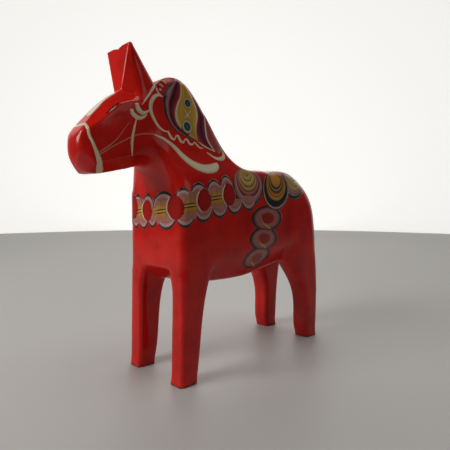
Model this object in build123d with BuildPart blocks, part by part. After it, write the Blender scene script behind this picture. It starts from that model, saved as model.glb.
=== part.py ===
from build123d import *
import os

# Dala horse: a standing horse sawn and carved from a glued-up pine blank, then dipped in paint and decorated.
# Millimetres, +Z up. The soles stand on Z = 0, the muzzle points to -Y, X = 0 is the plane of symmetry,
# and the horse's left side is +X.
#
# The blank is three layers face to face: a core that runs through the head, ears, crest and belly, and an
# outer layer on each side that carries the legs. Each layer is two boards with their grain upright, tongued
# and grooved edge to edge. The joint in the core is staggered from the joints in the outer layers. Two dowels
# run through the core into both outer layers and keep the layers in line while the glue sets.

# Driving dimensions
HEIGHT = 300
LENGTH = 299
WIDTH = 86
HEAD_WIDTH = 40
CORE_THICKNESS = 28
CORE_JOINT_Y = 6
OUTER_JOINT_Y = 36
TONGUE_THICKNESS = 8
TONGUE_DEPTH = 6
DOWEL_DIAMETER = 10
DOWEL_LENGTH = 60
DOWEL_PLACES = [(-36, 140), (96, 150)]

HALF_WIDTH = WIDTH / 2
HALF_HEAD = HEAD_WIDTH / 2
HALF_CORE = CORE_THICKNESS / 2
RUMP_Y = LENGTH / 2
BEYOND = LENGTH

# Trunk, seen from the side as (y, z)
CHEST_Y = -71
CHEST_TOP_Z = 178
WITHERS = (44, 202)
DOCK_Z = 105
BELLY_Z = 86.5
CHEST_ARCH_Z = 106.5
BACK_ROUNDING = 15
FLANK_CUT_IN = 16
FLANK_CUT_UP = 25
FLANK_CUT_CLIMB = 4.5

# Breast and throat corners, cut away in plan as (x, y)
BREAST_PLAN = [(27, -86), (43, -65), (44, -60), (44, 150)]

# Neck: half-widths at heights above the shoulder line, which climbs gently from the chest to the withers
SHOULDER_CLIMB = 5
NECK_TAPER = [(-30, 43), (-4, 43), (8, 40.5), (17, 35), (31, 26.8), (50, 21.6), (72, 19), (130, 18)]
CREST_ROUNDING = 8

# Head: slices along the nose, below the ears, along the jaw and off the corners of the chin
NOSE_CREASE = (-114.8, 247.5)
NOSE_CLIMB = 43.5
NOSE_SLICE = [(0, 11.1), (22, -2.1), (22, -HEIGHT)]
SHELF_CUT_IN = 14.5
SHELF_CUT_DOWN = 11.3
CHIN_CORNER = (17, -137, 197)
CHIN_SLICE = (-0.588, 0.689, 0.424)
JAW_CUT_IN = 11
JAW_CUT_UP = 10.5
JAW_CLIMB = 10.6
MUZZLE_PLAN = [(5, -150), (12, -147), (16.5, -139.5), (18, -130)]

# Ears: one wedge as (x, y) at its root and its tips, narrow in front where it springs from the nose
EAR_ROOT_Z = 250
EAR_ROOT = [(1.8, -107), (19.4, -90.5), (16.5, -61.5)]
EAR_TIP = [(17.8, -106.3), (20, -104.5), (18, -100)]
EAR_NOTCH_DEPTH = 1.5
EAR_NOTCH_WIDTH = 12

# Legs: sections as (z, inner x, outer x, front y, rear y, corner radius)
FORELEG = [
    (0, 24.5, 43, -72.5, -51.5, 4.5),
    (58, 24, 43, -71, -43.5, 4.5),
    (88, 23, 43, -71, -36, 6.5),
    (116, 14, 43, -71, -21, 9.5),
]
HIND_LEG = [
    (0, 21.5, 42.5, 127.5, 147.5, 4.5),
    (45, 20, 43, 122, 148.7, 5),
    (72, 17, 43, 113, 149.3, 7),
    (92, 13, 43, 99, 149.5, 10),
    (134, 8, 43, 107, 149.5, 14),
]

# The passage between the forelegs opens to the front as a funnel: (x, z) at the chest and behind it
PASSAGE_MOUTH = [(26, -1), (27.5, 92), (18, CHEST_ARCH_Z + 0.5)]
PASSAGE_THROAT = [(21, -1), (19, 76), (13, BELLY_Z + 2)]
PASSAGE_THROAT_Y = -48


def mirrored(points):
    """The closed outline of a symmetric shape, from the points of its right half."""
    return points + [(-x, y) for x, y in reversed(points)]


def leg(sections):
    """A left leg: a loft through rounded rectangles, from the sole up into the trunk."""
    with BuildPart() as shape:
        for z, inner, outer, front, rear, radius in sections:
            with BuildSketch(Plane.XY.offset(z)):
                with Locations(((inner + outer) / 2, (front + rear) / 2)):
                    RectangleRounded(outer - inner, rear - front, radius)
        loft()
    return shape.part


# Trunk: sawn to its side outline, back and rump rounded over, a slanted slice taken off each lower flank
with BuildPart() as trunk:
    with BuildSketch(Plane.YZ):
        with BuildLine():
            chest = Line((CHEST_Y, CHEST_ARCH_Z), (CHEST_Y, CHEST_TOP_Z))
            shoulder = Line(chest @ 1, WITHERS)
            back = Spline(shoulder @ 1, (66, 202), (90, 202), (113, 193), (130.5, 180.5), (142.5, 163),
                          (148.3, 138), (RUMP_Y, 118))
            dock = Line(back @ 1, (RUMP_Y, DOCK_Z))
            belly = Spline(dock @ 1, (108, 102), (84, 97.5), (58, 91.5), (34, 87.2), (10, BELLY_Z),
                           (-18, 87.8), (-49, 90))
            Line(belly @ 1, chest @ 0)
        make_face()
    extrude(amount=HALF_WIDTH, both=True)
    outline_edges = trunk.faces().filter_by(Axis.X).edges()
    fillet(outline_edges.filter_by(lambda e: e.center().Z > 125 and e.center().Y > CHEST_Y + 1), BACK_ROUNDING)
    flank_line = Plane(origin=(0, CHEST_Y, BELLY_Z), x_dir=(1, 0, 0), z_dir=(0, -1, 0))
    with BuildSketch(flank_line.rotated((FLANK_CUT_CLIMB, 0, 0))):
        for side in (1, -1):
            with BuildLine():
                Polyline(
                    (side * (HALF_WIDTH + 5), -20),
                    (side * (HALF_WIDTH - FLANK_CUT_IN - 10), -20),
                    (side * (HALF_WIDTH - FLANK_CUT_IN), -3),
                    (side * (HALF_WIDTH + 2), FLANK_CUT_UP),
                    close=True,
                )
            make_face()
    extrude(amount=BEYOND, both=True, mode=Mode.SUBTRACT)

# Neck: sawn to its side outline, tapered from the shoulders to the poll, the crest rounded over
with BuildPart() as neck:
    with BuildSketch(Plane.YZ):
        with BuildLine():
            throat = Spline((CHEST_Y, CHEST_TOP_Z - 30), (CHEST_Y - 1, CHEST_TOP_Z + 2), (-78.5, 204))
            gullet = Polyline(throat @ 1, (-84, 240), (-74, 270))
            crest = Spline(gullet @ 1, (-59, 282.5), (-47, 281.5), (-29.5, 268), (-12, 245), (0, 224),
                           (7, 212), (15, 203.5), (27, 200.5), (52, 200))
            Polyline(crest @ 1, (52, CHEST_TOP_Z - 30), throat @ 0)
        make_face()
    extrude(amount=HALF_WIDTH, both=True)
    shoulder_line = Plane(origin=(0, CHEST_Y, CHEST_TOP_Z), x_dir=(1, 0, 0), z_dir=(0, -1, 0))
    with BuildSketch(shoulder_line.rotated((SHOULDER_CLIMB, 0, 0))):
        with BuildLine():
            left_side = Spline(*[(x, h) for h, x in NECK_TAPER])
            right_side = Spline(*[(-x, h) for h, x in NECK_TAPER])
            Line(left_side @ 0, right_side @ 0)
            Line(left_side @ 1, right_side @ 1)
        make_face()
    extrude(amount=BEYOND, both=True, mode=Mode.INTERSECT)
    long_edges = neck.edges().filter_by(lambda e: abs(e.center().X) > 5 and e.length > 60)
    fillet(long_edges.filter_by(lambda e: e.center().Y > CHEST_Y + 10 and e.center().Z > 206), CREST_ROUNDING)

# Head: sawn to its side outline, sliced along the nose and the jaw, and narrowed to a rounded muzzle
with BuildPart() as head:
    with BuildSketch(Plane.YZ):
        with BuildLine():
            nose = Spline((-RUMP_Y, 210.5), (-148.5, 218.5), (-143.5, 226.7), (-137.5, 234), (-130.5, 242.2),
                          (-122, 251), (-114, 257.5), (-106.5, 262.2))
            poll = Polyline(nose @ 1, (-91.5, 268.4), (-80, 261), (-51.5, 240), (-59.5, 207))
            jaw = Spline(poll @ 1, (-95, 197), (-110, 194), (-124, 190.8), (-134, 189.5))
            Spline(jaw @ 1, (-142, 191.5), (-147.5, 198.5), nose @ 0, tangents=[jaw % 1, nose % 0])
        make_face()
    extrude(amount=HALF_HEAD, both=True)
    for side in (0, -1):
        cheek = head.faces().filter_by(Axis.X).sort_by(Axis.X)[side]
        poll_edges = cheek.edges().filter_by(lambda e: e.center().Z > 262 and e.center().Y < -90)
        chamfer(poll_edges, length=SHELF_CUT_DOWN, length2=SHELF_CUT_IN, reference=cheek)
    nose_line = Plane(origin=(0, *NOSE_CREASE), x_dir=(1, 0, 0), z_dir=(0, -1, 0))
    with BuildSketch(nose_line.rotated((NOSE_CLIMB, 0, 0))):
        with BuildLine():
            Polyline(*mirrored(NOSE_SLICE), close=True)
        make_face()
    extrude(amount=BEYOND, both=True, mode=Mode.INTERSECT)
    jaw_line = Plane(origin=(0, -134, 189.5), x_dir=(1, 0, 0), z_dir=(0, -1, 0))
    with BuildSketch(jaw_line.rotated((JAW_CLIMB, 0, 0))):
        with BuildLine():
            Polyline(*mirrored([(HALF_HEAD - JAW_CUT_IN - 3, -3), (HALF_HEAD, JAW_CUT_UP), (HALF_HEAD, HEIGHT)]),
                     close=True)
        make_face()
    extrude(amount=BEYOND, both=True, mode=Mode.INTERSECT)
    with BuildSketch(Plane.XY):
        with BuildLine():
            Polyline(*mirrored(MUZZLE_PLAN + [(HALF_HEAD, -96), (HALF_HEAD, -50)]), close=True)
        make_face()
    extrude(amount=HEIGHT, mode=Mode.INTERSECT)
    for side in (1, -1):
        corner = Plane(origin=(side * CHIN_CORNER[0], *CHIN_CORNER[1:]),
                       z_dir=(side * CHIN_SLICE[0], *CHIN_SLICE[1:]))
        split(bisect_by=corner, keep=Keep.TOP)

# Ears: one wedge springing from the poll, flared at the tips, with a shallow notch sawn between them
with BuildPart() as ears:
    for z, points in ((EAR_ROOT_Z, EAR_ROOT), (HEIGHT, EAR_TIP)):
        with BuildSketch(Plane.XY.offset(z)):
            with BuildLine():
                Polyline(*mirrored(points), close=True)
            make_face()
    loft(ruled=True)
    with BuildSketch(Plane.XZ.offset(RUMP_Y)):
        with BuildLine():
            Polyline((-EAR_NOTCH_WIDTH / 2, HEIGHT), (0, HEIGHT - EAR_NOTCH_DEPTH), (EAR_NOTCH_WIDTH / 2, HEIGHT),
                     (0, HEIGHT + 1), close=True)
        make_face()
    extrude(amount=-LENGTH, mode=Mode.SUBTRACT)

# Passage between the forelegs: cut with the knife from the front, so it narrows towards the belly
with BuildPart() as passage:
    for y, points in ((CHEST_Y - 3, PASSAGE_MOUTH), (PASSAGE_THROAT_Y, PASSAGE_THROAT)):
        with BuildSketch(Plane.XZ.offset(-y)):
            with BuildLine():
                Polyline(*mirrored(points), close=True)
            make_face()
    loft(ruled=True)

# The whole horse, before it is parted into its boards
left_legs = [leg(FORELEG), leg(HIND_LEG)]
with BuildPart() as horse:
    add(trunk.part)
    add(neck.part)
    with BuildSketch(Plane.XY):
        with BuildLine():
            Polyline(*mirrored(BREAST_PLAN), close=True)
        make_face()
    extrude(amount=HEIGHT, mode=Mode.INTERSECT)
    add(head.part)
    add(ears.part)
    for left_leg in left_legs:
        add(left_leg)
        add(left_leg.mirror(Plane.YZ))
    add(passage.part, mode=Mode.SUBTRACT)

# Locating dowels: beech pins through the core into blind bores in the outer layers
with BuildPart() as dowels:
    with BuildSketch(Plane.YZ):
        with Locations(*DOWEL_PLACES):
            Circle(DOWEL_DIAMETER / 2)
    extrude(amount=DOWEL_LENGTH / 2, both=True)


def board(name, inner_x, outer_x, joint_y, front):
    """One board of the blank: the horse between two glue planes, in front of or behind its edge joint."""
    reach = (Align.CENTER, Align.MAX if front else Align.MIN)
    tongue_mode = Mode.ADD if front else Mode.SUBTRACT
    with BuildPart() as made:
        add(horse.part)
        with BuildSketch(Plane.XY):
            with Locations(((inner_x + outer_x) / 2, joint_y)):
                Rectangle(outer_x - inner_x, BEYOND, align=reach)
                Rectangle(TONGUE_THICKNESS, TONGUE_DEPTH, align=(Align.CENTER, Align.MIN), mode=tongue_mode)
        extrude(amount=HEIGHT, mode=Mode.INTERSECT)
        add(dowels.part, mode=Mode.SUBTRACT)
    made.part.label = name
    return made.part


edge = HALF_WIDTH + 1
pieces = [
    board("core_front_board", -HALF_CORE, HALF_CORE, CORE_JOINT_Y, True),
    board("core_rear_board", -HALF_CORE, HALF_CORE, CORE_JOINT_Y, False),
    board("left_front_board", HALF_CORE, edge, OUTER_JOINT_Y, True),
    board("left_rear_board", HALF_CORE, edge, OUTER_JOINT_Y, False),
    board("right_front_board", -edge, -HALF_CORE, OUTER_JOINT_Y, True),
    board("right_rear_board", -edge, -HALF_CORE, OUTER_JOINT_Y, False),
]
dowels.part.label = "locating_dowels"
pieces.append(dowels.part)

os.makedirs("parts", exist_ok=True)
for piece in pieces:
    export_step(piece, f"parts/{piece.label}.step")
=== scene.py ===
import math

import bmesh
import bpy
import numpy as np
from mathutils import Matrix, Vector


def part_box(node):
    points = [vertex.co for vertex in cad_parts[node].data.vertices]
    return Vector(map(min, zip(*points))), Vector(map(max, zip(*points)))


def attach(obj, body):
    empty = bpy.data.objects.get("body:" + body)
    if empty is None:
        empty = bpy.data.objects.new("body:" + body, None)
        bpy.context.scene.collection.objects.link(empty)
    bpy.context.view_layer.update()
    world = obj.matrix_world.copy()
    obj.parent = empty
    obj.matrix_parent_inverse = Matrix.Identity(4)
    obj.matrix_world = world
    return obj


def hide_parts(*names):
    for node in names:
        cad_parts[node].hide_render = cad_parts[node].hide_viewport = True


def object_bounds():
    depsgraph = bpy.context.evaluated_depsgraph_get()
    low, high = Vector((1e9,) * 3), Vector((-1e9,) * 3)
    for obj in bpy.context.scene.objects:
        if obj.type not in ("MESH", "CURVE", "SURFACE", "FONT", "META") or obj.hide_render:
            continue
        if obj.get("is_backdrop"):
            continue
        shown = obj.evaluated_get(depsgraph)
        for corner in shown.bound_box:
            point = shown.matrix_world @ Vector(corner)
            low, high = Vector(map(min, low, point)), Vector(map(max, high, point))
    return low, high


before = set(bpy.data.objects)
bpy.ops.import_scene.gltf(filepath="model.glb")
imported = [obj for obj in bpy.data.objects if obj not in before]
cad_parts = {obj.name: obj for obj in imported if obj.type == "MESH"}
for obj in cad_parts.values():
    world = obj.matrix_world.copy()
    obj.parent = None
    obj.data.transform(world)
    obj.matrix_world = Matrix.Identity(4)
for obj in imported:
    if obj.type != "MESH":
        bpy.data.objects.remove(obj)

bpy.context.view_layer.update()
scene = bpy.context.scene
MM = 0.001

# Camera: level with the breast and tilted slightly down, on the horse's left front quarter, a little over
# 0.4 m from its middle.
CAMERA_PLACE = (319.5 * MM, -294.3 * MM, 164.7 * MM)
CAMERA_DOWN = 2.954
CAMERA_TURN = 45
CAMERA_LENS = 32.56

camera = bpy.data.objects.new("camera", bpy.data.cameras.new("camera"))
camera.location = CAMERA_PLACE
camera.rotation_euler = (math.radians(90 - CAMERA_DOWN), 0, math.radians(CAMERA_TURN))
camera.data.lens = CAMERA_LENS
camera.data.clip_start = 0.01
scene.collection.objects.link(camera)
scene.camera = camera


# Carved boards: six pine boards, glued up and then carved as one block, so their outer faces run on from
# board to board. The corners left by the saw are eased with the knife: hardly at all along the nose and the
# crest, some on the legs, most on the ears' outer faces, the shoulders, the flanks, the rump and the throat.
CARVED_GRID = 1.0 * MM
EASING_PASSES = 110
THROAT_PASSES = 220
FINISHING_PASSES = 3
EASE = 0.5
NECK_EASE = 0.12
EAR_EASE = 0.9
SNOUT_EASE = 0.25
LEG_EASE = 0.4
TONGUE_HALF = 4 * MM
TONGUE_DEPTH = 6 * MM
BOARDS = ["core_front_board", "core_rear_board", "left_front_board", "left_rear_board",
          "right_front_board", "right_rear_board"]
DOWELS = "locating_dowels"


def mesh_object(name, mesh):
    """A new object at the origin that shows the mesh."""
    made = bpy.data.objects.new(name, mesh)
    scene.collection.objects.link(made)
    return made


def plain_mesh(thing):
    """The object's mesh with its modifiers worked in, and the modifiers taken off."""
    seen = thing.evaluated_get(bpy.context.evaluated_depsgraph_get())
    made = bpy.data.meshes.new_from_object(seen)
    thing.modifiers.clear()
    return made


def merged_copy(node):
    """A copy of a CAD node's mesh with its loose triangles joined up."""
    shell = bmesh.new()
    shell.from_mesh(node.data)
    bmesh.ops.remove_doubles(shell, verts=shell.verts, dist=0.001 * MM)
    made = bpy.data.meshes.new(node.name + "_copy")
    shell.to_mesh(made)
    shell.free()
    return made


def between(value, low, high):
    """0 below low, 1 above high, and a smooth step from one to the other."""
    t = np.clip((value - low) / (high - low), 0, 1)
    return t * t * (3 - 2 * t)


def eased(co, edges, strength, passes):
    """The points after so many passes, each moved towards the middle of its neighbours."""
    ends = np.concatenate([edges[:, 0], edges[:, 1]])
    others = np.concatenate([edges[:, 1], edges[:, 0]])
    count = np.bincount(ends, minlength=len(co))
    for _ in range(passes):
        middle = np.stack([np.bincount(ends, co[others, k], len(co)) for k in range(3)], 1) / count[:, None]
        co = co + strength[:, None] * (middle - co)
    return co


glued = [mesh_object(name + "_blank", merged_copy(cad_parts[name])) for name in BOARDS]
block = glued[0]
for other in glued[1:]:
    joining = block.modifiers.new(other.name, "BOOLEAN")
    joining.operation = "UNION"
    joining.solver = "MANIFOLD"
    joining.object = other
block.data = plain_mesh(block)
remesh = block.modifiers.new("carved grid", "REMESH")
remesh.mode = "VOXEL"
remesh.voxel_size = CARVED_GRID
carved = plain_mesh(block)

co = np.empty(len(carved.vertices) * 3, np.float32)
carved.vertices.foreach_get("co", co)
co = co.reshape(-1, 3).astype(float)
edges = np.empty(len(carved.edges) * 2, np.int32)
carved.edges.foreach_get("vertices", edges)
edges = edges.reshape(-1, 2)
x, y, z = (np.abs(co[:, 0]) / MM, co[:, 1] / MM, co[:, 2] / MM)
trunk = between(z, 92, 108) * between(-z, -204, -188)
neck = between(z, 214, 228) * between(y, -70, -60) * NECK_EASE
withers = between(z, 174, 188) * between(-x, -31, -22) * between(-y, -46, -30)
ear = between(z, 250, 256) * between(x, 14, 17) * between(y, -104, -100) * EAR_EASE
snout = between(-y, 138, 146) * between(z, 180, 186) * SNOUT_EASE
jaw = between(-y, 40, 58) * between(y, -104, -88) * between(z, 172, 186) * between(-z, -250, -232)
legs = between(-z, -104, -92) * between(z, 1, 6) * LEG_EASE
soft = np.max([trunk * (1 - withers), neck, ear, snout, jaw, legs], axis=0)
sole = between(z, 0.5, 2)
co = eased(co, edges, EASE * soft * sole, EASING_PASSES)
co = eased(co, edges, EASE * jaw, THROAT_PASSES)
co = eased(co, edges, EASE * sole, FINISHING_PASSES)
carved.vertices.foreach_set("co", co.astype(np.float32).ravel())
carved.update()


def linear(code):
    """A colour given as an sRGB hex value, in linear light."""
    parts = [int(code[i:i + 2], 16) / 255 for i in (1, 3, 5)]
    return [p / 12.92 if p <= 0.04045 else ((p + 0.055) / 1.055) ** 2.4 for p in parts] + [1]


def add(tree, kind, inputs=None, **settings):
    """Adds a node. Its settings are its properties, and each input is a value or the socket that feeds it."""
    made = tree.nodes.new(kind)
    for name, value in settings.items():
        setattr(made, name, value)
    for name, value in (inputs or {}).items():
        if isinstance(value, bpy.types.NodeSocket):
            tree.links.new(value, made.inputs[name])
        else:
            made.inputs[name].default_value = value
    return made


def new_material(name, **shader_inputs):
    """A material with its shader's inputs set as numbers, returned with its tree and its shader."""
    made = bpy.data.materials.new(name)
    made.use_nodes = True
    shader = made.node_tree.nodes["Principled BSDF"]
    for socket, value in shader_inputs.items():
        shader.inputs[socket.replace("_", " ")].default_value = value
    return made, made.node_tree, shader


# Signal-red dipping paint under clear varnish, on knife-cut pine. The eye gets a wet gloss that runs over a
# slightly wavy ground, a red that deepens where the paint lies thick, faint upright grain, tiny dust nibs,
# and rubbed edges at the soles.
PAINT_RED = "#c6150a"
PAINT_THICK = "#b21008"
PAINT_BRIGHT = "#d01a0c"
RUBBED_RED = "#7a2a1a"
WAVE = 24 * MM
GRAIN_WIDTH = 1.6 * MM
GRAIN_LENGTH = 45 * MM
NIB = 0.9 * MM
VARNISH_IOR = 1.5

painted, tree, shader = new_material("signal red paint under varnish", Roughness=0.4, Coat_Weight=0.6,
                                     Coat_Roughness=0.12, Coat_IOR=VARNISH_IOR, Specular_IOR_Level=0.05)
place = add(tree, "ShaderNodeTexCoord").outputs["Object"]
waves = add(tree, "ShaderNodeTexNoise", {"Vector": place, "Scale": 1 / WAVE, "Detail": 2.0})
upright = add(tree, "ShaderNodeMapping", {"Vector": place,
                                          "Scale": (1 / GRAIN_WIDTH, 1 / GRAIN_WIDTH, 1 / GRAIN_LENGTH)})
grain = add(tree, "ShaderNodeTexNoise", {"Vector": upright.outputs[0], "Scale": 1.0, "Detail": 3.0})
nibs = add(tree, "ShaderNodeTexNoise", {"Vector": place, "Scale": 1 / NIB, "Detail": 1.0})
depth = add(tree, "ShaderNodeValToRGB", {"Fac": waves.outputs["Fac"]})
depth.color_ramp.elements[0].position = 0.30
depth.color_ramp.elements[0].color = linear(PAINT_THICK)
depth.color_ramp.elements[1].position = 0.72
depth.color_ramp.elements[1].color = linear(PAINT_BRIGHT)
middle = depth.color_ramp.elements.new(0.5)
middle.color = linear(PAINT_RED)
grain_tone = add(tree, "ShaderNodeMapRange", {"Value": grain.outputs["Fac"], "From Min": 0.3, "From Max": 0.7,
                                              "To Min": 0.93, "To Max": 1.03})
toned = add(tree, "ShaderNodeVectorMath", {0: depth.outputs["Color"], 1: grain_tone.outputs[0]},
            operation="MULTIPLY")
height = add(tree, "ShaderNodeSeparateXYZ", {0: place}).outputs["Z"]
rubbing = add(tree, "ShaderNodeMath", {0: waves.outputs["Fac"], 1: 3.0 * MM}, operation="MULTIPLY")
rubbed = add(tree, "ShaderNodeMath", {0: rubbing.outputs[0], 1: height}, operation="GREATER_THAN")
red = add(tree, "ShaderNodeMix", {0: rubbed.outputs[0], 6: toned.outputs[0], 7: linear(RUBBED_RED)},
          data_type="RGBA")
tree.links.new(red.outputs[2], shader.inputs["Base Color"])
swell = add(tree, "ShaderNodeBump", {"Height": waves.outputs["Fac"], "Distance": 1.2 * MM, "Strength": 0.55})
lines = add(tree, "ShaderNodeBump", {"Height": grain.outputs["Fac"], "Distance": 0.10 * MM, "Strength": 0.35,
                                     "Normal": swell.outputs[0]})
dust = add(tree, "ShaderNodeBump", {"Height": nibs.outputs["Fac"], "Distance": 0.05 * MM, "Strength": 0.3,
                                    "Normal": lines.outputs[0]})
tree.links.new(dust.outputs[0], shader.inputs["Normal"])
tree.links.new(swell.outputs[0], shader.inputs["Coat Normal"])

# Planed pine inside the joints: pale, with the upright grain's darker late wood, and no gloss. The faces
# meet in the glue lines, so they show only where boards are drawn apart.
PINE_PALE = "#d9b98a"
PINE_DARK = "#b98c57"
RING_WIDTH = 3 * MM

pine, tree, shader = new_material("planed bare pine", Roughness=0.62)
place = add(tree, "ShaderNodeTexCoord").outputs["Object"]
upright = add(tree, "ShaderNodeMapping", {"Vector": place, "Scale": (1 / RING_WIDTH, 1 / RING_WIDTH,
                                                                     0.04 / RING_WIDTH)})
rings = add(tree, "ShaderNodeTexNoise", {"Vector": upright.outputs[0], "Scale": 1.0, "Detail": 4.0})
tone = add(tree, "ShaderNodeValToRGB", {"Fac": rings.outputs["Fac"]})
tone.color_ramp.elements[0].color = linear(PINE_DARK)
tone.color_ramp.elements[0].position = 0.35
tone.color_ramp.elements[1].color = linear(PINE_PALE)
tone.color_ramp.elements[1].position = 0.6
tree.links.new(tone.outputs["Color"], shader.inputs["Base Color"])

carved.materials.clear()
carved.materials.append(painted)
carved.materials.append(pine)
carved.polygons.foreach_set("use_smooth", [True] * len(carved.polygons))
carved.polygons.foreach_set("material_index", [0] * len(carved.polygons))
horse = mesh_object("horse_block", carved)


def saw(name, low, high, joint, front):
    """A closed block, in plan one board between two glue planes, with its tongue or its groove."""
    far = -1.0 if front else 1.0
    tip = joint + TONGUE_DEPTH
    mid = (low + high) / 2
    plan = [(low, far), (low, joint), (mid - TONGUE_HALF, joint), (mid - TONGUE_HALF, tip),
            (mid + TONGUE_HALF, tip), (mid + TONGUE_HALF, joint), (high, joint), (high, far)]
    shape = bmesh.new()
    foot = [shape.verts.new((px, py, -1.0)) for px, py in plan]
    face = shape.faces.new(foot)
    face.material_index = 1
    grown = bmesh.ops.extrude_face_region(shape, geom=[face])
    raised = [v for v in grown["geom"] if isinstance(v, bmesh.types.BMVert)]
    bmesh.ops.translate(shape, vec=(0, 0, 2), verts=raised)
    bmesh.ops.recalc_face_normals(shape, faces=shape.faces)
    for side in shape.faces:
        side.material_index = 1
    made = bpy.data.meshes.new(name)
    shape.to_mesh(made)
    shape.free()
    made.materials.append(painted)
    made.materials.append(pine)
    return mesh_object(name, made)


pins = mesh_object("dowel_bores", merged_copy(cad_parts[DOWELS]))
pins.data.materials.clear()
pins.data.materials.append(painted)
pins.data.materials.append(pine)
pins.data.polygons.foreach_set("material_index", [1] * len(pins.data.polygons))
helpers = glued + [horse, pins]
for name in BOARDS:
    low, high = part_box(name)
    front = "front" in name
    joint = high.y - TONGUE_DEPTH if "core_front" in name else low.y
    if name in ("left_front_board", "right_front_board"):
        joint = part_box(name.replace("front", "rear"))[0].y
    if "core" in name:
        sides = (low.x, high.x)
    elif "left" in name:
        sides = (low.x, 2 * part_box("left_rear_board")[1].x - low.x)
    else:
        sides = (2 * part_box("right_rear_board")[0].x - high.x, high.x)
    cutter = saw(name + "_saw", *sides, joint, front)
    helpers.append(cutter)
    board = mesh_object(name + "_carved", carved.copy())
    for operation, tool in (("INTERSECT", cutter), ("DIFFERENCE", pins)):
        cut = board.modifiers.new(operation, "BOOLEAN")
        cut.operation = operation
        cut.solver = "MANIFOLD"
        cut.object = tool
    board.data = plain_mesh(board)
    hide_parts(name)
    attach(board, "root")

# Beech dowels, planed round, tan with short dark flecks: they keep their CAD shape. They are glued in bores
# that cross the three layers of boards, so they stay hidden.
BEECH = "#c79a6b"
BEECH_FLECK = "#9c6a41"
FLECK = 1.2 * MM

beech, tree, shader = new_material("planed beech", Roughness=0.5)
place = add(tree, "ShaderNodeTexCoord").outputs["Object"]
along = add(tree, "ShaderNodeMapping", {"Vector": place, "Scale": (0.2 / FLECK, 1 / FLECK, 1 / FLECK)})
flecks = add(tree, "ShaderNodeTexNoise", {"Vector": along.outputs[0], "Scale": 1.0, "Detail": 2.0})
tone = add(tree, "ShaderNodeValToRGB", {"Fac": flecks.outputs["Fac"]})
tone.color_ramp.elements[0].color = linear(BEECH_FLECK)
tone.color_ramp.elements[0].position = 0.3
tone.color_ramp.elements[1].color = linear(BEECH)
tone.color_ramp.elements[1].position = 0.5
tree.links.new(tone.outputs["Color"], shader.inputs["Base Color"])
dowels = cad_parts[DOWELS]
dowels.data.materials.clear()
dowels.data.materials.append(beech)

# Brushwork: oil paint laid on the red ground with a flat brush loaded with two colours and turned on its
# corner, then varnished over. Each stroke is a thin film with rounded edges, drawn flat in millimetres and
# laid onto the wood along rays that point into it.
FILM = 0.16 * MM
FILM_ROOT = 0.35 * MM
FILM_CROWN = 0.9
CROWN_POWER = 6
WELD = 0.004 * MM
RAY_REACH = 0.2
BRISTLE = 0.45
BRISTLE_RUN = 22
BRISTLE_DRAG = 0.03
DRAWN_STEP = 0.8
DRAWN_WIDTH_STEP = 1.2
RING_STEP = 0.9
THINNEST_HALF = 0.15
LONGEST_EDGE = 3.5 * MM

lay = bpy.data.node_groups.new("lay paint on the wood", "GeometryNodeTree")
for socket, kind in (("Geometry", "Geometry"), ("Wood", "Object"), ("Film", "Float"), ("Paint", "Material")):
    lay.interface.new_socket(socket, in_out="INPUT", socket_type="NodeSocket" + kind)
lay.interface.new_socket("Geometry", in_out="OUTPUT", socket_type="NodeSocketGeometry")
given = add(lay, "NodeGroupInput").outputs
wood = add(lay, "GeometryNodeObjectInfo", {"Object": given["Wood"]}).outputs["Geometry"]
aim = add(lay, "GeometryNodeInputNamedAttribute", {"Name": "aim"}, data_type="FLOAT_VECTOR").outputs[0]
lift = add(lay, "GeometryNodeInputNamedAttribute", {"Name": "lift"}).outputs[0]
ray = add(lay, "GeometryNodeRaycast", {
    "Target Geometry": wood, "Ray Direction": aim, "Ray Length": RAY_REACH})
raised = add(lay, "ShaderNodeMath", {0: lift, 1: given["Film"]}, operation="MULTIPLY").outputs[0]
offset = add(lay, "ShaderNodeVectorMath", {0: ray.outputs["Hit Normal"], "Scale": raised}, operation="SCALE")
laid = add(lay, "GeometryNodeSetPosition", {
    "Geometry": given["Geometry"], "Position": ray.outputs["Hit Position"], "Offset": offset.outputs[0]})
missed = add(lay, "FunctionNodeBooleanMath", {0: ray.outputs["Is Hit"]}, operation="NOT")
kept = add(lay, "GeometryNodeDeleteGeometry", {"Geometry": laid.outputs[0], "Selection": missed.outputs[0]})
real = add(lay, "GeometryNodeRealizeInstances", {"Geometry": kept.outputs[0]})
finished = add(lay, "GeometryNodeSetMaterial", {"Geometry": real.outputs[0], "Material": given["Paint"]})
add(lay, "NodeGroupOutput", {"Geometry": finished.outputs[0]})
LAY_SOCKET = {item.name: item.identifier for item in lay.interface.items_tree if item.in_out == "INPUT"}


def through(points):
    """Points along a smooth line through the given ones. Columns after the first two ride along."""
    p = np.array(points, float)
    ends = np.vstack([2 * p[0] - p[1], p, 2 * p[-1] - p[-2]])
    made = []
    for a, b, c, d in zip(ends, ends[1:], ends[2:], ends[3:]):
        count = max(2, int(np.hypot(*(c - b)[:2]) / DRAWN_STEP))
        t = np.arange(count)[:, None] / count
        bend = (2 * a - 5 * b + 4 * c - d) * t**2
        twist = (3 * b - a - 3 * c + d) * t**3
        made.append((2 * b + (c - a) * t + bend + twist) / 2)
    return np.vstack(made + [p[-1:]])


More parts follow.
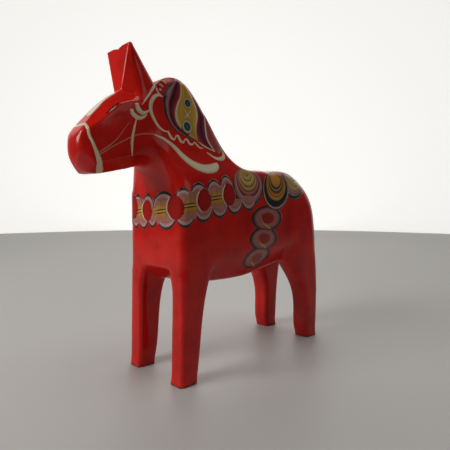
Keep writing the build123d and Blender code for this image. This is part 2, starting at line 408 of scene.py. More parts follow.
def stroke(points):
    """One brush stroke through points (u, v, half-width)."""
    line = through(points)
    run = np.gradient(line[:, :2], axis=0)
    run /= np.hypot(*run.T)[:, None] + 1e-9
    half = np.maximum(line[:, 2], THINNEST_HALF)
    columns = max(7, int(2 * half.max() / DRAWN_WIDTH_STEP))
    across = np.linspace(-1, 1, columns)
    reach = half[:, None, None] * across[None, :, None]
    grid = line[:, None, :2] + reach * np.stack([-run[:, 1], run[:, 0]], 1)[:, None]
    length = np.concatenate([[0], np.cumsum(np.hypot(*np.diff(line[:, :2], axis=0).T))])
    along = np.repeat(length[:, None], columns, 1)
    side = np.repeat(across[None], len(line), 0)
    return grid, (side + 1) / 2, along, side * half[:, None], np.abs(side)


def disc(centre, a, b, turn=0, lean=0):
    """A round of paint, a by b, whose inner rings move towards its top by lean."""
    t = np.linspace(0, 1, max(6, int(max(a, b) / RING_STEP)))[:, None]
    angle = np.linspace(0, 2 * math.pi, max(24, int(7 * max(a, b))))[None]
    px = t * a * np.sin(angle)
    py = -t * b * np.cos(angle) + (1 - t) * lean * b
    c, s = math.cos(math.radians(turn)), math.sin(math.radians(turn))
    grid = np.stack([centre[0] + c * px - s * py, centre[1] + s * px + c * py], -1)
    ring = np.repeat(t, angle.size, 1)
    return grid, ring, ring * angle * (a + b) / 2, ring * (a + b) / 2, ring


def leaf(left, right, rows=40, columns=22):
    """A petal filled from a left edge to a right edge."""
    edges = []
    for side in (left, right):
        line = through(side)
        length = np.concatenate([[0], np.cumsum(np.hypot(*np.diff(line, axis=0).T))])
        at = np.linspace(0, length[-1], rows)
        edges.append(np.stack([np.interp(at, length, line[:, k]) for k in (0, 1)], 1))
    s = np.linspace(0, 1, columns)[None, :, None]
    grid = edges[0][:, None] * (1 - s) + edges[1][:, None] * s
    ring = np.repeat(s[..., 0], rows, 0)
    width = np.hypot(*(edges[1] - edges[0]).T)[:, None]
    along = np.repeat(np.linspace(0, 40, rows)[:, None], columns, 1)
    return grid, ring, along, ring * width, np.abs(2 * ring - 1)


BESIDE_FLANK = 90


def flank(u, v):
    """Seen from the left: u is y and v is z."""
    one = np.ones_like(u)
    return np.stack([BESIDE_FLANK * one, u, v], -1), np.stack([-one, 0 * u, 0 * u], -1)


BREAST_Y = -71
FLANK_X = 43
BREAST_CORNER = 9
BEFORE_BREAST = 50


def breast(s, v):
    """Round the breast at height v: s is x across the front, then goes round the corner and back."""
    flat = FLANK_X - BREAST_CORNER
    bend = BREAST_CORNER * math.pi / 2
    turn = np.clip((np.abs(s) - flat) / bend, 0, 1) * math.pi / 2
    back = np.maximum(np.abs(s) - flat - bend, 0)
    sign = np.sign(s)
    out = np.stack([np.sin(turn) * sign, -np.cos(turn), 0 * s], -1)
    foot = np.stack([np.clip(s, -flat, flat), BREAST_Y + BREAST_CORNER + back, v], -1)
    return foot + out * BEFORE_BREAST, -out


BACK_CORNER = 15
OFF_SADDLE = 60
BACK_HIGH = [(-20, 203), (10, 202), (44, 202), (90, 201.5), (113, 193), (130, 180), (142, 163)]


def saddle(u, w):
    """Over the back at y = u: w is z up the left flank, and then runs over the corner to the spine."""
    top = np.interp(u, *np.array(BACK_HIGH, float).T)
    low = top - BACK_CORNER
    turn = np.clip((w - low) / BACK_CORNER, 0, math.pi / 2)
    rest = np.maximum(w - low - BACK_CORNER * math.pi / 2, 0)
    out = np.stack([np.cos(turn), 0 * u, np.sin(turn)], -1)
    foot = np.stack([FLANK_X - BACK_CORNER - rest, u, np.minimum(w, low)], -1)
    return foot + out * OFF_SADDLE, -out


NOSE_LINE = [(210, -149), (226.7, -143.5), (234, -137.5), (242.2, -130.5), (251, -122), (257.5, -114),
             (262.2, -106.5)]
NOSE_FACES = (0, -0.69, 0.72)
CHEEK_FACES = (0.66, -0.5, 0.56)
CHEEK_X = 17
OFF_FACE = 30


def nose(x, v):
    """Down on the nose from in front: x is x and v is z along the nose line."""
    y = np.interp(v, *np.array(NOSE_LINE, float).T)
    out = np.array(NOSE_FACES)
    one = np.ones_like(x)
    return np.stack([x, y, v], -1) + out * OFF_FACE, -out * one[..., None]


def cheek(u, v):
    """On the slanted facet between the nose and the cheek: u is y and v is z."""
    out = np.array(CHEEK_FACES)
    one = np.ones_like(u)
    return np.stack([CHEEK_X * one, u, v], -1) + out * OFF_FACE, -out * one[..., None]


MUZZLE_AXIS = 212
MM_PER_DEGREE = 0.3
OFF_MUZZLE = 60
ABOVE_BACK = 260


def muzzle(s, y):
    """Round the muzzle at y: s runs from the top towards the left, a set length for each degree."""
    a = np.radians(s / MM_PER_DEGREE)
    out = np.stack([np.sin(a), 0 * y, np.cos(a)], -1)
    return np.stack([0 * y, y, MUZZLE_AXIS + 0 * y], -1) + out * OFF_MUZZLE, -out


def spine(u, v):
    """Straight down on the back: u is x and v is y."""
    one = np.ones_like(u)
    return np.stack([u, v, ABOVE_BACK * one], -1), np.stack([0 * u, 0 * u, -one], -1)


def mirror(chart):
    """The same chart on the horse's right side."""
    def other(u, v):
        start, into = chart(u, v)
        flip = np.array([-1, 1, 1])
        return start * flip, into * flip
    return other


def oil_paint(name, stops, streak=0.16):
    """Oil paint under varnish: colours by their place across the stroke or out from its middle, with the fine
    lines that the bristles leave along it, which catch the light through the varnish."""
    made, tree, shader = new_material(name, Roughness=0.5, Coat_Weight=0.8, Coat_Roughness=0.1,
                                      Specular_IOR_Level=0.1)
    ring = add(tree, "ShaderNodeAttribute", attribute_name="ring").outputs["Fac"]
    along = add(tree, "ShaderNodeAttribute", attribute_name="along").outputs["Fac"]
    across = add(tree, "ShaderNodeAttribute", attribute_name="across").outputs["Fac"]
    run = add(tree, "ShaderNodeMath", {0: along, 1: 1 / BRISTLE_RUN}, operation="MULTIPLY")
    rank = add(tree, "ShaderNodeMath", {0: across, 1: 1 / BRISTLE}, operation="MULTIPLY")
    brush = add(tree, "ShaderNodeCombineXYZ", {0: run.outputs[0], 1: rank.outputs[0]})
    bristles = add(tree, "ShaderNodeTexNoise", {"Vector": brush.outputs[0], "Scale": 1.0, "Detail": 2.0})
    drag = add(tree, "ShaderNodeMapRange", {
        "Value": bristles.outputs["Fac"], "To Min": -BRISTLE_DRAG, "To Max": BRISTLE_DRAG})
    mixed = add(tree, "ShaderNodeMath", {0: ring, 1: drag.outputs[0]}, operation="ADD")
    ramp = add(tree, "ShaderNodeValToRGB", {"Fac": mixed.outputs[0]})
    while len(ramp.color_ramp.elements) < len(stops):
        ramp.color_ramp.elements.new(0.5)
    for element, (position, code) in zip(ramp.color_ramp.elements, stops):
        element.position = position
    for element, (position, code) in zip(ramp.color_ramp.elements, stops):
        element.color = linear(code)
    tone = add(tree, "ShaderNodeMapRange", {
        "Value": bristles.outputs["Fac"], "From Min": 0.3, "From Max": 0.7,
        "To Min": 1 - streak, "To Max": 1 + streak / 2})
    toned = add(tree, "ShaderNodeVectorMath", {0: ramp.outputs["Color"], "Scale": tone.outputs[0]},
                operation="SCALE")
    tree.links.new(toned.outputs[0], shader.inputs["Base Color"])
    ridges = add(tree, "ShaderNodeBump", {"Height": bristles.outputs["Fac"], "Distance": 0.12 * MM,
                                          "Strength": 0.5})
    tree.links.new(ridges.outputs[0], shader.inputs["Normal"])
    return made


def brushed(name, finish, shapes):
    """One painted piece from (drawn shape, chart, layer) entries, laid on the wood and thickened."""
    points, aims, lifts, rings, alongs, acrosses, faces = [], [], [], [], [], [], []
    count = 0
    for (grid, ring, along, across, edge), chart, layer in shapes:
        rows, columns = ring.shape
        start, into = chart(grid[..., 0], grid[..., 1])
        number = count + np.arange(rows * columns).reshape(rows, columns)
        count += rows * columns
        ahead = start[1:, :-1] - start[:-1, :-1]
        beside = start[:-1, 1:] - start[:-1, :-1]
        facing = (np.cross(ahead, beside) * into[:-1, :-1]).sum()
        quads = np.stack([number[:-1, :-1], number[1:, :-1], number[1:, 1:], number[:-1, 1:]], -1)
        quads = quads.reshape(-1, 4)
        faces.append(quads[:, ::-1] if facing > 0 else quads)
        points.append(start.reshape(-1, 3) * MM)
        aims.append(into.reshape(-1, 3))
        lifts.append((layer + FILM_CROWN - np.clip(edge, 0, 1) ** CROWN_POWER * FILM_CROWN).ravel())
        rings.append(ring.ravel())
        alongs.append(along.ravel())
        acrosses.append(across.ravel())
    flat = bpy.data.meshes.new(name)
    flat.from_pydata(np.vstack(points).tolist(), [], np.vstack(faces).tolist())
    fields = (("aim", "FLOAT_VECTOR", "vector", aims), ("lift", "FLOAT", "value", lifts),
              ("ring", "FLOAT", "value", rings), ("along", "FLOAT", "value", alongs),
              ("across", "FLOAT", "value", acrosses))
    for label, kind, field, values in fields:
        layer_data = flat.attributes.new(label, kind, "POINT")
        layer_data.data.foreach_set(field, np.concatenate(values).astype(np.float32).ravel())
    made = mesh_object(name, flat)
    on_wood = made.modifiers.new("on the wood", "NODES")
    on_wood.node_group = lay
    on_wood[LAY_SOCKET["Wood"]] = horse
    on_wood[LAY_SOCKET["Film"]] = FILM
    on_wood[LAY_SOCKET["Paint"]] = finish
    film = bmesh.new()
    film.from_mesh(plain_mesh(made))
    bmesh.ops.remove_doubles(film, verts=film.verts, dist=WELD)
    torn = [f for f in film.faces if max(e.calc_length() for e in f.edges) > LONGEST_EDGE]
    bmesh.ops.delete(film, geom=torn, context="FACES")
    draped = bpy.data.meshes.new(name)
    film.to_mesh(draped)
    film.free()
    made.data = draped
    body = made.modifiers.new("thickness", "SOLIDIFY")
    body.thickness = FILM_ROOT
    body.offset = -1
    made.data = plain_mesh(made)
    made.data.materials.clear()
    made.data.materials.append(finish)
    made.data.polygons.foreach_set("material_index", [0] * len(made.data.polygons))
    made.data.polygons.foreach_set("use_smooth", [True] * len(made.data.polygons))
    for label in ("aim", "lift"):
        if label in made.data.attributes:
            made.data.attributes.remove(made.data.attributes[label])
    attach(made, "root")


SIDES = (("left", lambda chart: chart), ("right", mirror))

# Cream lines of the bridle and the mane: lead white warmed with ochre, drawn with a pointed brush that is
# pressed down in the middle of a stroke and lifted at its ends.
CREAM = "#d6c8a4"
CREAM_THIN = "#b98a72"
cream = oil_paint("cream brush line", [
    (0, "#c3b28c"), (0.2, CREAM), (0.7, "#ded3b4"), (1, "#b9a883")], 0.22)
thin_cream = oil_paint("thinned cream line", [(0, "#a8453a"), (0.5, CREAM_THIN), (1, "#a8453a")])

SWOOSH = [(-83, 225.6, 0.5), (-73, 222, 1.3), (-64.6, 216.3, 2.1), (-57.6, 208.6, 3.0), (-49, 201.6, 3.9),
          (-38, 197.6, 4.4), (-27, 198.6, 4.2), (-20, 202, 3.0), (-17.5, 204.5, 0.6)]
HOOK = [(-72, 260.8, 0.5), (-77.6, 261.2, 1.3), (-82.9, 257.5, 1.8), (-86.2, 251, 1.9),
        (-85.6, 244.2, 1.7), (-82.4, 238.3, 1.5), (-78.3, 233, 1.2), (-73, 229.9, 0.9), (-68, 229.6, 0.5)]
TAPER = [(-71, 276, 0.3), (-77, 271.5, 1.0), (-82.5, 266, 1.3), (-88, 258.5, 0.9), (-95, 249.5, 0.3)]
CURL = [(-66.5, 273.5, 0.4), (-68.5, 276.8, 0.9), (-71.8, 276, 1.0), (-71.8, 272.6, 0.8),
        (-69.5, 269.8, 0.4)]
CURL_TAIL = [(-76.5, 269, 0.4), (-77.3, 265.5, 1.0), (-75.3, 262.6, 0.9), (-72, 260.6, 0.4)]
WAVE_LINE = [(-69, 230.5, 0.8), (-67.5, 227, 1.4), (-65, 223.8, 1.4), (-62.2, 223.6, 0.7),
             (-60.5, 226.6, 0.5), (-58.2, 227, 1.2), (-56, 222.8, 1.4), (-52.8, 221.6, 0.9),
             (-50.4, 224.6, 0.5), (-47.8, 224.8, 1.1), (-45.4, 221.2, 1.3), (-41.8, 220.8, 0.8),
             (-39.3, 223.2, 0.5), (-36.8, 221.2, 1.0), (-33.6, 218.6, 0.9), (-29.4, 218.2, 0.3)]
OUTER_HOOK = [(-26, 214.6, 0.4), (-17.5, 209.8, 1.4), (-10.2, 209.2, 2.0), (-4.6, 212.6, 1.8),
              (-4.4, 219.8, 0.4)]
CRESCENT = [(-105.2, 244.3, 1.6), (-103.6, 240.3, 2.1), (-98.7, 238, 1.9), (-93.6, 239.2, 1.1),
            (-90, 242, 0.3)]
INNER_CRESCENT = [(-100.2, 250, 1.8), (-98.3, 244.9, 2.4), (-94.2, 242.8, 1.9), (-89.8, 244.3, 1.0),
                  (-87, 246.8, 0.3)]
CHEEK_STRAP = [(-100.5, 237, 0.5), (-103.4, 226, 1.2), (-104.9, 216.7, 1.3), (-105, 205.5, 0.4)]
UPPER_REIN = [(-133.5, 206.2, 0.55), (-120, 216.6, 0.45), (-107.4, 233, 0.25)]
LOWER_REIN = [(-133.5, 204.2, 0.6), (-122, 211.8, 0.5), (-105.8, 220.8, 0.4), (-94.5, 224.8, 0.5),
              (-82.5, 225.8, 0.6)]
NOSEBAND = [(-116, -135.2, 1.7), (-90, -138.2, 1.2), (-60, -141.5, 0.9), (-20, -142, 0.9), (0, -142, 0.9),
            (20, -142, 0.9), (60, -141.5, 0.9), (90, -138.2, 1.2), (116, -135.2, 1.8), (137, -132.8, 2.6),
            (155, -130, 3.0), (180, -128.5, 2.4)]

NECK_LINES = [SWOOSH, HOOK, TAPER, CURL, CURL_TAIL, WAVE_LINE, OUTER_HOOK, CRESCENT, INNER_CRESCENT,
              CHEEK_STRAP]
for side, turned in SIDES:
    brushed("neck_lines_" + side, cream,
            [(stroke(line), turned(flank), 0.2 + 0.15 * (k % 2)) for k, line in enumerate(NECK_LINES)])
    brushed("rein_lines_" + side, thin_cream,
            [(stroke(line), turned(flank), 0.05) for line in (UPPER_REIN, LOWER_REIN)])

# Blaze: a long drop of cream down the middle of the nose, wide towards the muzzle, laid in one stroke of a
# brush that is pressed down as it travels.
BLAZE = [(0, 259, 0.4), (0.6, 254, 2.4), (1.2, 248.5, 4.4), (1.6, 243, 5.6), (1.8, 238.6, 5.2),
         (1.8, 236.4, 2.4)]
brushed("blaze", cream, [(stroke(BLAZE), nose, 0.1)])

# Eyes: a thin dark line on the slanted facet below the ear, with short black dashes across it, put on with a
# pointed brush once the red is dry. Beside each eye, towards the crease, a short cream stroke is a painted
# highlight.
EYE = [(-126.5, 237.2, 0.2), (-123.5, 240.2, 0.7), (-120.5, 243, 0.8), (-117.5, 245.6, 0.5),
       (-115.5, 247.2, 0.2)]
LASHES = [(-126, 239.5), (-123, 242.4), (-120, 245.2), (-117.3, 247.4)]
black = oil_paint("black line", [(0, "#120d0c"), (1, "#1d1614")], 0.1)
brushed("eyes", black, [
    (stroke(shape), turned(cheek), 0.2) for side, turned in SIDES
    for shape in [EYE] + [[(u - 2.2, v - 0.6, 0.3), (u + 0.2, v + 0.4, 0.95), (u + 2.6, v + 1.6, 0.3)]
                          for u, v in LASHES]])
# Painted highlight: a short cream stroke along each eye, standing in for the glint of light along the crease.
brushed("eye_lights", cream, [
    (stroke([(-124.4, 238.4, 0.2), (-121, 241.4, 0.6), (-118, 244.2, 0.2)]), turned(cheek), 1.2)
    for side, turned in SIDES])

# Mane flower: a golden leaf with two blue seeds between crimson petals, on each side of the neck, all drawn
# with a brush that carries a dark and a light colour side by side.
DARK_GREEN = "#17221b"
CRIMSON = "#8c1226"
OUTLINE = [(-57, 280), (-66, 271.5), (-70.7, 262), (-72.4, 253.5), (-71, 245.8), (-66.9, 238.2),
           (-61, 232.4), (-53, 228.6), (-44, 226), (-34, 223.8)]
LEAF_LEFT = [(-51, 279), (-51.4, 271.1), (-52.7, 263.5), (-56.6, 256.2), (-59, 248.5), (-58.4, 241.3),
             (-54.3, 235.5), (-46, 230), (-34, 224.8)]
LEAF_RIGHT = [(-45, 278), (-40, 271.4), (-36.2, 265), (-32.2, 257), (-31.6, 248.4), (-34, 239.5),
              (-35.2, 232.4), (-34, 224.8)]
PETAL_RIGHT = [(-34, 268), (-27, 259.8), (-23, 250.4), (-22.8, 239.5), (-22.2, 229), (-19, 222.4),
               (-15, 216.8)]
PETAL_LEFT_EDGE = [(-36.2, 265), (-32.2, 257), (-31.6, 248.4), (-34, 239.5), (-35.2, 232.4), (-32, 224.4),
                   (-24.5, 219.6), (-15, 216.4)]
CREST_EDGE = [(-28, 264), (-19.5, 253), (-14, 243), (-9.6, 232.5), (-6.2, 224.5), (-5.5, 218), (-10, 214.5)]
petal_paint = oil_paint("crimson and mauve petal", [
    (0, DARK_GREEN), (0.13, DARK_GREEN), (0.2, "#8d5a5c"), (0.32, "#a4757a"), (0.42, "#8f1a2c"),
    (0.52, "#3a0d1a"), (0.6, "#10101c"), (0.68, "#6d1024"), (0.8, CRIMSON), (0.9, "#9b2b38"),
    (1, "#a34a4c")], 0.3)
leaf_paint = oil_paint("golden leaf", [
    (0, "#d9c9a0"), (0.07, "#d6c088"), (0.12, "#c0922f"), (0.3, "#c79a35"), (0.45, "#b98a33"),
    (0.55, "#b08a3c"), (0.75, "#c99a36"), (0.9, "#cfa84c"), (0.94, "#d8c692"), (1, "#cdb98c")], 0.22)
right_petal_paint = oil_paint("crimson petal with a blue vein", [
    (0, "#a2474c"), (0.2, CRIMSON), (0.38, "#7c1230"), (0.5, "#1c1c3c"), (0.6, "#20264a"),
    (0.7, "#7d1a34"), (0.9, "#97303a"), (1, "#a4454a")], 0.25)
crest_paint = oil_paint("rose crest band", [
    (0, "#b35352"), (0.4, "#a93a38"), (0.8, "#b4605c"), (1, "#b98a80")], 0.2)
seed_paint = oil_paint("blue seed with a cream halo", [
    (0, "#1f5a86"), (0.25, "#214f74"), (0.42, "#1a3a5c"), (0.48, "#14202a"), (0.52, "#2a2a22"),
    (0.57, "#c8b27a"), (0.72, "#bfa04e"), (0.82, "#a88d50"), (0.87, "#2a2c1c"), (1, "#20241a")], 0.15)
SEEDS = [((-43.6, 259.8), 6.4, 6.4), ((-45.8, 237.4), 7.4, 7.8)]
STRANDS = [[(-48, 253.6, 0.2), (-45.6, 250, 0.45), (-43.6, 247.6, 0.5), (-41.4, 245.2, 0.2)],
           [(-40.6, 253.4, 0.2), (-43, 250, 0.45), (-45.4, 247.6, 0.5), (-48.4, 245, 0.2)]]
for side, turned in SIDES:
    chart = turned(flank)
    brushed("mane_petals_" + side, petal_paint, [(leaf(OUTLINE, LEAF_LEFT), chart, 0)])
    brushed("mane_veined_petal_" + side, right_petal_paint,
            [(leaf(PETAL_LEFT_EDGE, PETAL_RIGHT), chart, 0.15)])
    brushed("mane_crest_band_" + side, crest_paint,
            [(leaf(PETAL_RIGHT[1:], CREST_EDGE), chart, 0.1)])
    brushed("mane_leaf_" + side, leaf_paint, [(leaf(LEAF_LEFT, LEAF_RIGHT), chart, 0.4)])
    brushed("mane_seeds_" + side, seed_paint,
            [(disc(centre, a, b), chart, 0.8) for centre, a, b in SEEDS])
    brushed("mane_strands_" + side, cream,
            [(stroke(line), chart, 1.4) for line in STRANDS]
            + [(stroke([(u, v, 0.9 if 2 < k < len(PETAL_RIGHT) - 1 else 0.5)
                        for k, (u, v) in enumerate(PETAL_RIGHT)]), chart, 0.9),
               (stroke([(-34, 224, 0.4), (-27, 220.4, 0.8), (-15, 216.4, 0.6)]), chart, 0.9)])

# Breast garland: two rows of scalloped petals, dark-edged, back to back round the breast, with golden panels
# and red hearts laid over the join by turns, each heart lit by a cream comma and each panel barred in black.
FRONT_TOPS = [(-25, 174.5, 9), (-7.4, 174.8, 8.9), (17.6, 176.4, 16.4)]
FRONT_BOTTOMS = [(-28.8, 140.4, 6), (-15.5, 140.1, 8), (-0.9, 142, 7.2), (20.2, 141, 14.6)]
SIDE_TOPS = [(42.4, 179.4, 9.2), (60, 184.4, 10.2), (79, 188.2, 9.4), (95.6, 193, 8.4)]
SIDE_BOTTOMS = [(44, 143.4, 10), (64.6, 147.8, 11), (85.4, 151, 10.6), (105.8, 154.3, 10.6),
                (126.5, 157.6, 10.8)]
PETAL_DEPTH = 15.5
PANEL_HALF = 12.5
GROUND_BAND = [(-100, 173.8), (-82, 169.6), (-62, 166), (-43, 161.4), (-18, 158.6), (0, 158.2),
               (18, 158.6), (43, 161.4), (62, 166), (82, 169.6), (100, 173.8)]
FRONT_HEARTS = [(-8.9, 158.8, 8.2, 11, -4)]
SIDE_HEARTS = [(33.4, 161.6, 10.6, 11.8, -16), (65.6, 167.8, 8.8, 11.4, -4), (98.2, 173.6, 8.8, 12, 14)]
FRONT_PANELS = [(-22.8, 157.6, 5.4), (13.4, 158, 8.6)]
SIDE_PANELS = [(49.6, 163.6, 8.2), (81.6, 170.6, 8)]
ground_paint = oil_paint("gold and rose garland ground", [
    (0, "#b98078"), (0.25, "#b9705a"), (0.42, "#c08c3c"), (0.58, "#c08c3c"), (0.75, "#b9705a"),
    (1, "#b98078")], 0.25)
petal_row = oil_paint("rose petal with a dark edge", [
    (0, "#a8705a"), (0.30, "#b07a62"), (0.44, "#b07868"), (0.56, "#a8605c"), (0.68, "#b98c88"),
    (0.78, "#bfa096"), (0.83, "#a06a6a"), (0.855, "#1b241c"), (1, "#151d18")], 0.3)
panel_paint = oil_paint("golden panel", [
    (0, "#a86a66"), (0.14, "#b3766a"), (0.26, "#bb7a48"), (0.38, "#c8963a"), (0.5, "#cf9f3c"),
    (0.62, "#c89034"), (0.74, "#bb7440"), (0.86, "#b3766a"), (1, "#a86a66")], 0.5)
heart_paint = oil_paint("deep red heart", [
    (0, "#ac0f08"), (0.6, "#a60d07"), (0.88, "#980c07"), (0.95, "#7a0a07"), (1, "#7a1a12")], 0.14)


def scallop(s, tip, half, up):
    """A half-round petal that stands on the garland's middle line, its rim at the far edge."""
    t = np.linspace(0, 1, 15)[:, None]
    angle = np.linspace(-1.45, 1.45, max(20, int(half * 2.6)))[None]
    reach = half * (0.62 + 0.44 * t)
    grid = np.stack([s + reach * np.sin(angle), tip - up * PETAL_DEPTH * (1 - t * np.cos(angle))], -1)
    ring = np.repeat(t, angle.size, 1)
    return grid, ring, ring * PETAL_DEPTH, half * angle * np.ones_like(t), ring


def panel(s, v, half):
    """An upright panel with rounded ends, drawn with downward strokes."""
    t = np.linspace(-1, 1, 25)[:, None]
    across = np.linspace(-1, 1, 15)[None]
    width = half * (1 - 0.4 * t**4)
    grid = np.stack([s + width * across, v - PANEL_HALF * t * np.ones_like(across)], -1)
    one = np.ones_like(across)
    return grid, (t + 1) / 2 * one, PANEL_HALF * t * one, half * across * np.ones_like(t), np.maximum(
        np.abs(t) * one, np.abs(across) * np.ones_like(t))


def row(tops, up):
    """Scalloped petals with their tips at the given heights; every second one lies on top."""
    return [(scallop(s, tip, half, up), breast, 0.6 + 0.5 * (k % 2)) for k, (s, tip, half) in enumerate(tops)]


def both_ways(items):
    """Each item and its like on the other side."""
    return items + [(-item[0], *item[1:]) for item in items]


def other_lean(items):
    """Each leaning round and its like on the other side, which leans the other way."""
    return items + [(-s, v, a, b, -turn) for s, v, a, b, turn in items]


brushed("garland_ground", ground_paint,
        [(stroke([(s, v, 11) for s, v in GROUND_BAND]), breast, 0)])
brushed("garland_petals", petal_row,
        row(FRONT_TOPS + both_ways(SIDE_TOPS), 1) + row(FRONT_BOTTOMS + both_ways(SIDE_BOTTOMS), -1))
panels = FRONT_PANELS + both_ways(SIDE_PANELS)
hearts = FRONT_HEARTS + other_lean(SIDE_HEARTS)
brushed("garland_panels", panel_paint, [
    (panel(s, v, half), breast, 1.2) for s, v, half in panels])
brushed("garland_hearts", heart_paint, [
    (disc((s, v), a, b, turn), breast, 1.5) for s, v, a, b, turn in hearts])
brushed("garland_commas", cream, [
    (stroke([(s - a * 0.55, v + b * 0.85, 0.25), (s - a, v + b * 0.3, 0.8),
             (s - a * 0.98, v - b * 0.35, 0.7), (s - a * 0.35, v - b * 0.95, 0.25)]), breast, 2.2)
    for s, v, a, b, turn in hearts])
BAR_GAP = 1.5
brushed("garland_bars", black, [
    (stroke([(s - half - 1, v + up - 1.2, 0.2), (s - half * 0.3, v + up - 0.3, 0.6),
             (s + half + 0.6, v + up + 0.9, 0.2)]), breast, 2.0)
    for s, v, half in panels for up in (-BAR_GAP, BAR_GAP)])

# Saddle: three round flowers over each flank, their rings drawn one inside the other from a common top, and
# a broad flower across the back between them.
gold_flower = oil_paint("gold ringed flower", [
    (0, "#bc9434"), (0.15, "#b4872a"), (0.17, "#3c2412"), (0.195, "#c4ac6a"), (0.30, "#b4862a"),
    (0.32, "#3c2412"), (0.345, "#cdb98e"), (0.45, "#bd8a2a"), (0.475, "#2c1a10"), (0.505, "#c9a870"),
    (0.57, "#b97a2c"), (0.595, "#2a160e"), (0.62, "#b47a70"), (0.70, "#9a3a44"), (0.72, "#7a1f24"),
    (0.745, "#1c2018"), (0.775, "#bc9286"), (0.88, "#a06464"), (0.935, "#8a4448"), (0.95, "#1c2a20"),
    (1, "#131c17")], 0.2)
green_flower = oil_paint("orange flower with a black-green band", [
    (0, "#cf9038"), (0.30, "#c98530"), (0.36, "#c7803a"), (0.385, "#3c3a20"), (0.43, "#1f3a22"),
    (0.455, "#c98a5c"), (0.485, "#2c5a2a"), (0.53, "#4a3014"), (0.555, "#b5622c"), (0.60, "#c98a34"),
    (0.625, "#3a1a10"), (0.65, "#c58a30"), (0.72, "#c07f28"), (0.745, "#2c150e"), (0.77, "#0e2620"),
    (0.84, "#101a26"), (0.905, "#123026"), (0.915, "#c8a598"), (0.95, "#b0696c"), (0.965, "#4a1414"),
    (1, "#2c100e")], 0.14)
pale_flower = oil_paint("pale gold flower with a green edge", [
    (0, "#a8823c"), (0.2, "#b08e48"), (0.225, "#5a3a1c"), (0.27, "#c4aa66"), (0.38, "#5e4020"),
    (0.42, "#c8b070"), (0.54, "#c2a458"), (0.565, "#6a4a26"), (0.59, "#c6ae74"), (0.70, "#bf9f52"),
    (0.72, "#6e4a34"), (0.745, "#b9868a"), (0.84, "#a04a52"), (0.86, "#c8a9a0"), (0.885, "#22402c"),
    (1, "#1a3024")], 0.16)
back_flower = oil_paint("broad back flower", [
    (0, "#2a6a6c"), (0.28, "#1f5a5c"), (0.36, "#3c7a5a"), (0.40, "#cdbb9a"), (0.46, "#c8a878"),
    (0.50, "#b5382e"), (0.62, "#a8302a"), (0.68, "#c98a84"), (0.80, "#d2b0a2"), (0.92, "#cdbca4"),
    (0.95, "#8a5a50"), (1, "#2a2c22")], 0.2)
SADDLE_FLOWERS = [("front", gold_flower, (17, 182.5), 22.6, 20.6, 6, 0.6),
                  ("rear", pale_flower, (95, 188.5), 20, 18.6, -8, 0.6),
                  ("middle", green_flower, (61, 179.5), 22.8, 22, 0, 1.6)]
brushed("back_flower", back_flower,
        [(disc((0, 48), 27, 44, 0, -0.15), spine, 0)])
for place, finish, centre, a, b, turn, layer in SADDLE_FLOWERS:
    brushed("saddle_flowers_" + place, finish,
            [(disc(centre, a, b, turn, 0.86), turned(saddle), layer) for side, turned in SIDES])

# Girth: a chain of round medallions from the saddle down under the belly, each with a red heart held by a
# golden crescent.
medallion_paint = oil_paint("rose medallion", [
    (0, "#8f1610"), (0.38, "#9a1c14"), (0.46, "#b5483c"), (0.54, "#a86a62"), (0.70, "#9c6664"),
    (0.84, "#743c44"), (0.90, "#23261a"), (1, "#161a14")], 0.22)
gold_paint = oil_paint("golden crescent", [
    (0, "#8c5a1c"), (0.4, "#c08a30"), (0.7, "#cf9f48"), (1, "#9a6a28")], 0.2)
MEDALLIONS = [(46.5, 149.4, 25.6, 13.6), (41, 128, 23, 12.8), (36, 107.5, 21.5, 12.2)]
for side, turned in SIDES:
    chart = turned(flank)
    brushed("girth_medallions_" + side, medallion_paint,
            [(disc((u, v), a, b), chart, 0.9 - 0.4 * k) for k, (u, v, a, b) in enumerate(MEDALLIONS)])
    brushed("girth_crescents_" + side, gold_paint,
            [(stroke([(u - a * 0.42, v + b * 0.15, 0.3), (u - a * 0.3, v - b * 0.35, 1.0),
                      (u - a * 0.02, v - b * 0.66, 1.5), (u + a * 0.2, v - b * 0.85, 0.5)]), chart, 2.0)
             for u, v, a, b in MEDALLIONS])

# Noseband: one cream line round the muzzle, thin over the nose and broad under the chin, in the same paint
# as the bridle lines.
brushed("noseband", cream,
        [(stroke([(turn * MM_PER_DEGREE, y, half) for turn, y, half in NOSEBAND]), muzzle, 0.1)])

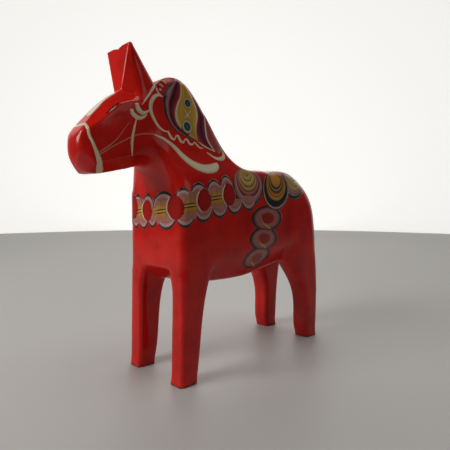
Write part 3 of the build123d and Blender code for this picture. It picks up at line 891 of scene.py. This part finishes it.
# Stage: a pale satin floor and a bright wall far behind the horse, in a dim room with soft lamps. The
# varnish then mirrors the dim room, and the red stays deep.
FLOOR = "#b4b1ac"
WALL = "#f2f1ee"
WALL_GLOW = 0.85
ROOM_GLOW = 0.05
floor_finish, tree, shader = new_material("pale satin floor", Roughness=0.5)
shader.inputs["Base Color"].default_value = linear(FLOOR)
wall_finish, tree, shader = new_material("bright studio wall", Roughness=0.9, Emission_Strength=WALL_GLOW)
shader.inputs["Base Color"].default_value = linear(WALL)
shader.inputs["Emission Color"].default_value = linear(WALL)
for name, finish, place, tilt, radius in (
        ("floor", floor_finish, (0, 0, 0), (0, 0, 0), 2.2),
        ("wall", wall_finish, (-1.5, 1.5, 0), (math.radians(90), 0, math.radians(45)), 4)):
    sheet = bmesh.new()
    bmesh.ops.create_circle(sheet, cap_ends=True, radius=radius, segments=96)
    stage_mesh = bpy.data.meshes.new(name)
    sheet.to_mesh(stage_mesh)
    sheet.free()
    stage_mesh.materials.append(finish)
    stage = mesh_object(name, stage_mesh)
    stage.location = place
    stage.rotation_euler = tilt
    stage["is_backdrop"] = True

LIGHTS = [("key", (-0.35, -1.35, 0.85), 0.9, 16), ("top", (0.35, 0.1, 1.4), 0.8, 3.6),
          ("rim", (-0.9, 1.0, 0.9), 0.9, 2), ("fill", (1.5, 0.3, 0.9), 0.8, 1.2)]
for name, place, size, power in LIGHTS:
    lamp = bpy.data.lights.new(name, "AREA")
    lamp.shape = "DISK"
    lamp.size = size
    lamp.energy = power
    light = bpy.data.objects.new(name, lamp)
    light.location = place
    light.rotation_euler = (-light.location + (sum(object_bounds(), light.location * 0) / 2)).to_track_quat(
        "-Z", "Y").to_euler()
    scene.collection.objects.link(light)

world = bpy.data.worlds.new("studio")
world.use_nodes = True
world.node_tree.nodes["Background"].inputs["Color"].default_value = (1, 0.97, 0.93, 1)
world.node_tree.nodes["Background"].inputs["Strength"].default_value = ROOM_GLOW
scene.world = world
scene.view_settings.view_transform = "Standard"

for helper in helpers:
    bpy.data.objects.remove(helper)
